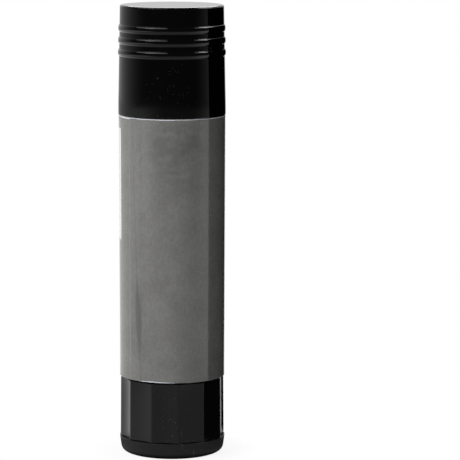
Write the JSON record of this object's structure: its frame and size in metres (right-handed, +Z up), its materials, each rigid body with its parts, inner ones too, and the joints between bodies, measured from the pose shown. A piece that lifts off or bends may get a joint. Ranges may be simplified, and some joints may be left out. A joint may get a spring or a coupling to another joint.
{
  "type": "twist-up glue stick",
  "caption": "Slim round glue stick with a black ribbed pull-off cap, a grey wrapped label, and a black faceted knob that turns a screw to raise the solid clear glue.",
  "frame": {"origin": "centre of the base's foot ring, on the surface that the stick stands on", "axes": "+Z up along the stick's axis, from the base to the cap; -Y is the front, with the label's lapped edge to its left"},
  "size_m": [0.021, 0.021, 0.0877],
  "materials": {
    "cap_black": "glossy moulded, light dust and fine scuffs",
    "barrel_white": "satin moulded",
    "label_film": "semi-gloss printed film, plain grey",
    "knob_black": "satin moulded, light dust",
    "inner_white": "satin moulded",
    "clear_glue": "waxy, translucent"
  },
  "bodies": {
    "barrel_body": {"barrel": "barrel_white", "label": "label_film"},
    "knob_body": {"knob": "knob_black", "base": "knob_black", "spindle": "inner_white"},
    "carrier_body": {"carrier": "inner_white", "glue": "clear_glue"},
    "cap_body": {"cap": "cap_black"}
  },
  "joints": [
    {"name": "knob_turn", "type": "hinge", "parent": "barrel_body", "child": "knob_body", "pos_m": [0, 0, 0.0149], "axis": [0, 0, 1], "range_deg": [0, 900]},
    {"name": "carrier_rise", "type": "slide", "parent": "barrel_body", "child": "carrier_body", "axis": [0, 0, 1], "range_m": [0, 0.01505]},
    {"name": "cap_pull", "type": "slide", "parent": "barrel_body", "child": "cap_body", "axis": [0, 0, 1], "range_m": [0, 0.035]}
  ],
  "couplings": [
    {"joint": "carrier_rise", "follows": "knob_turn", "m_per_rad": 0.00095493}
  ]
}
